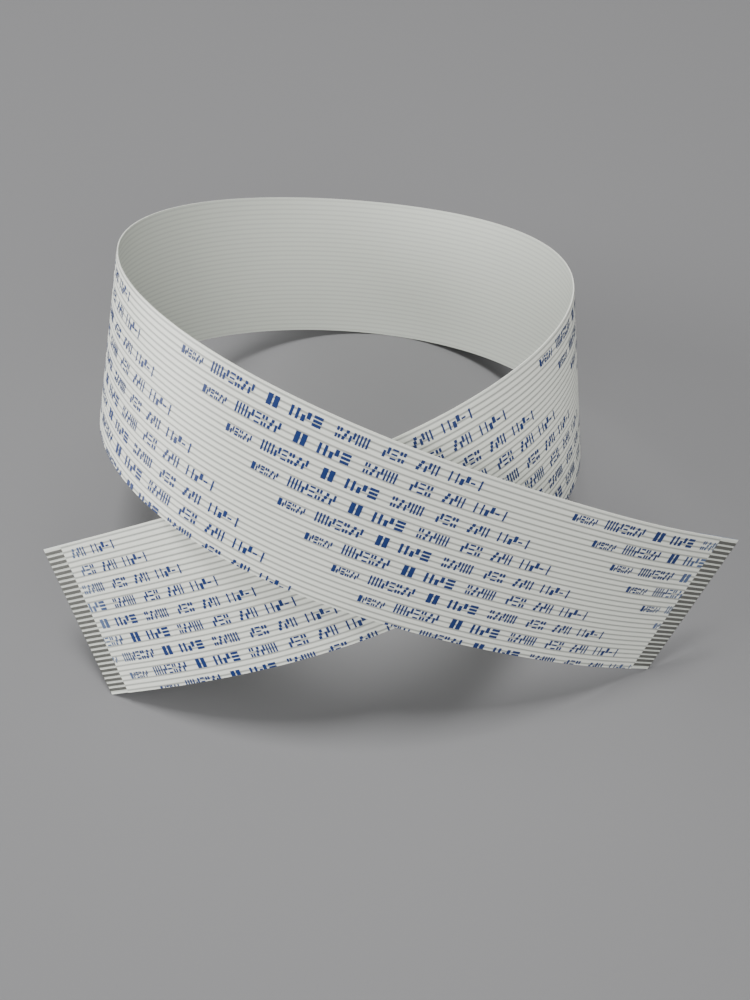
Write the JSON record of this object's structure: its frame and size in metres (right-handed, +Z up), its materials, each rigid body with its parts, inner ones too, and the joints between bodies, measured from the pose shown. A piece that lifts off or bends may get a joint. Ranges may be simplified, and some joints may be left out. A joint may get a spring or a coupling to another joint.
{
  "type": "flat flex cable",
  "caption": "Flat flex cable with parallel flat conductors between two films, bent into one open loop with crossed tails, bare stiffened contacts at both ends.",
  "frame": {"origin": "bottom centre of the cable's bounding box, on the surface it stands on", "axes": "+Z up; +X runs from the lower corner of one tail to that of the other; -Y is the side where the two tails cross"},
  "size_m": [0.1214, 0.105, 0.0596],
  "materials": {
    "base_film": "satin white polyester film",
    "cover_film": "satin white polyester film, ridged over the conductors",
    "stiffener": "blue polyester sheet",
    "conductor": "tin plating, matte"
  },
  "bodies": {
    "root": {"base_film": "base_film", "cover_film": "cover_film", "stiffener_a": "stiffener", "stiffener_b": "stiffener", "conductor_01": "conductor", "conductor_02": "conductor", "conductor_03": "conductor", "conductor_04": "conductor", "conductor_05": "conductor", "conductor_06": "conductor", "conductor_07": "conductor", "conductor_08": "conductor", "conductor_09": "conductor", "conductor_10": "conductor", "conductor_11": "conductor", "conductor_12": "conductor", "conductor_13": "conductor", "conductor_14": "conductor", "conductor_15": "conductor", "conductor_16": "conductor", "conductor_17": "conductor", "conductor_18": "conductor", "conductor_19": "conductor", "conductor_20": "conductor", "conductor_21": "conductor", "conductor_22": "conductor", "conductor_23": "conductor", "conductor_24": "conductor", "conductor_25": "conductor", "conductor_26": "conductor", "conductor_27": "conductor", "conductor_28": "conductor", "conductor_29": "conductor"}
  },
  "joints": []
}
